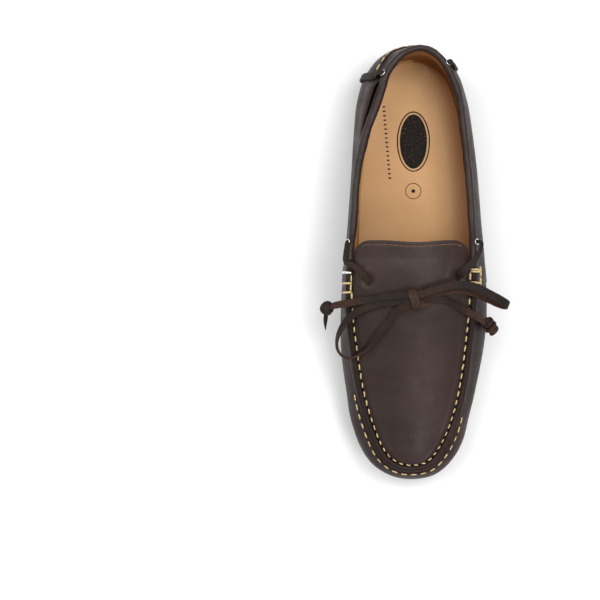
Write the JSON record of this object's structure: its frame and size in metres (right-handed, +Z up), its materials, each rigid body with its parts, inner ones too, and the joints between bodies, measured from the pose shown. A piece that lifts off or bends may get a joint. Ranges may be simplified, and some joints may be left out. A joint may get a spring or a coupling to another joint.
{
  "type": "moccasin",
  "caption": "Left-foot driving moccasin with a hand-sewn apron, a lace through the rolled collar, a bow over the instep and a pebbled rubber sole.",
  "frame": {"origin": "on the ground under the middle of the shoe", "axes": "+Z up, +Y towards the heel, +X towards the outer side of the foot"},
  "size_m": [0.1214, 0.2856, 0.077],
  "materials": {
    "upper_leather": "dark brown waxed leather, soft sheen",
    "collar_leather": "dark brown rolled leather",
    "lace_leather": "dark brown flat thong with raw edges",
    "tan_leather": "smooth tan lining leather",
    "sole_rubber": "dark brown rubber, matt",
    "thread": "waxed cream thread",
    "fine_thread": "fine reddish brown thread",
    "foam": "footbed foam",
    "board": "pressed fibre board",
    "nickel": "polished nickel plate"
  },
  "bodies": {
    "shoe": {"apron": "upper_leather", "apron_thread": "thread", "bottom_leather": "upper_leather", "bow_knot": "lace_leather", "collar": "collar_leather", "collar_lace_inner": "lace_leather", "collar_lace_outer": "lace_leather", "footbed_foam": "foam", "front_eyelet_inner": "nickel", "front_eyelet_outer": "nickel", "front_strap_inner": "lace_leather", "front_strap_outer": "lace_leather", "heel_counter": "board", "heel_eyelet_inner": "nickel", "heel_eyelet_outer": "nickel", "heel_lace_inner": "lace_leather", "heel_lace_outer": "lace_leather", "heel_patch": "upper_leather", "heel_thread": "thread", "insole_board": "board", "ladder_thread_inner": "thread", "ladder_thread_outer": "thread", "outsole": "sole_rubber", "quarter_inner": "upper_leather", "quarter_lining": "tan_leather", "quarter_outer": "upper_leather", "sock_lining": "tan_leather", "toe_guard": "upper_leather", "toe_thread": "thread", "vamp_lining": "tan_leather", "vamp_wall": "upper_leather"},
    "tongue": {"tongue": "upper_leather", "tongue_thread": "fine_thread"},
    "bow_inner": {"bow_tail_inner": "lace_leather", "bow_loop_inner": "lace_leather", "stopper_knot_inner": "lace_leather"},
    "bow_outer": {"bow_tail_outer": "lace_leather", "bow_loop_outer": "lace_leather", "stopper_knot_outer": "lace_leather"}
  },
  "joints": [
    {"name": "tongue_lift", "type": "hinge", "parent": "shoe", "child": "tongue", "pos_m": [-0.003, 0.00015, 0.0728], "axis": [1, 0, 0], "range_deg": [0, 30]},
    {"name": "bow_inner_lift", "type": "hinge", "parent": "shoe", "child": "bow_inner", "pos_m": [-0.008, -0.0243, 0.0728], "axis": [0, 1, 0], "range_deg": [0, 55]},
    {"name": "bow_outer_lift", "type": "hinge", "parent": "shoe", "child": "bow_outer", "pos_m": [0.0044, -0.0243, 0.0756], "axis": [0, -1, 0], "range_deg": [0, 55]}
  ]
}
